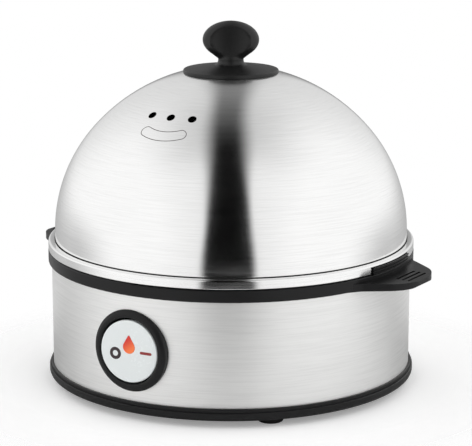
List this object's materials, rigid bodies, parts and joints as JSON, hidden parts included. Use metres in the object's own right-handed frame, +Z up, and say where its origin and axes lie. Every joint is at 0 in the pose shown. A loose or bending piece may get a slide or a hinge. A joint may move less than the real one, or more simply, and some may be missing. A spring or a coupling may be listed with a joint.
{
  "type": "egg cooker",
  "caption": "Electric egg steamer: steel drum with a heated water dish, lift-out egg tray, domed lift-off steel lid with a knob, and a round rocker switch with a lamp.",
  "frame": {"origin": "on the surface it stands on, under the middle of the drum", "axes": "+Z up along the drum's axis, -Y out of the switch, +X along the grip lugs"},
  "size_m": [0.192, 0.1661, 0.16],
  "materials": {
    "black_plastic": "satin moulded polypropylene, fine grain",
    "drum_steel": "satin stainless sheet, brushed round the drum",
    "lid_steel": "polished stainless, spun",
    "bowl_steel": "pressed stainless, bright",
    "white_plastic": "glossy moulded",
    "red_lens": "clear tinted",
    "black_rubber": "matt",
    "grey_silicone": "matt",
    "cast_aluminium": "as cast",
    "heater_sheath": "annealed dark",
    "white_ceramic": null,
    "zinc_steel": "zinc plated",
    "fuse_metal": "bright",
    "switch_plastic": "moulded",
    "lamp_glass": "clear",
    "wire_sleeve": "glass braid sleeve",
    "insert_brass": "knurled"
  },
  "bodies": {
    "base": {"base_pan": "black_plastic", "upper_ring": "black_plastic", "switch_bezel": "black_plastic", "steel_sleeve": "drum_steel", "heating_bowl": "bowl_steel", "rubber_feet": "black_rubber", "cord_gland": "black_rubber", "bowl_seal": "grey_silicone", "heater_plate": "cast_aluminium", "heater_tube": "heater_sheath", "heater_terminals": "white_ceramic", "thermostat": "white_ceramic", "terminal_block": "white_ceramic", "base_screws": "zinc_steel", "thermostat_bracket": "zinc_steel", "fuse_saddle": "zinc_steel", "bracket_screws": "zinc_steel", "clamp_strap": "zinc_steel", "strap_screws": "zinc_steel", "stud_nut": "zinc_steel", "rocker_pins": "zinc_steel", "thermal_fuse": "fuse_metal", "switch_module": "switch_plastic", "indicator_lamp": "lamp_glass", "lead_wires": "wire_sleeve"},
    "rocker": {"rocker_cap": "white_plastic", "drop_lens": "red_lens"},
    "tray": {"egg_tray": "black_plastic"},
    "lid": {"lid_dome": "lid_steel", "lid_knob": "black_plastic", "knob_insert": "insert_brass", "knob_screw": "zinc_steel", "knob_washer": "grey_silicone"}
  },
  "joints": [
    {"name": "tray_lift", "type": "slide", "parent": "base", "child": "tray", "axis": [0, 0, 1], "range_m": [0, 0.1]},
    {"name": "lid_lift", "type": "slide", "parent": "tray", "child": "lid", "axis": [0, 0, 1], "range_m": [0, 0.12]},
    {"name": "rocker_tilt", "type": "hinge", "parent": "base", "child": "rocker", "pos_m": [0, -0.0775, 0.03005], "axis": [0, 0, -1], "range_deg": [0, 10]}
  ]
}
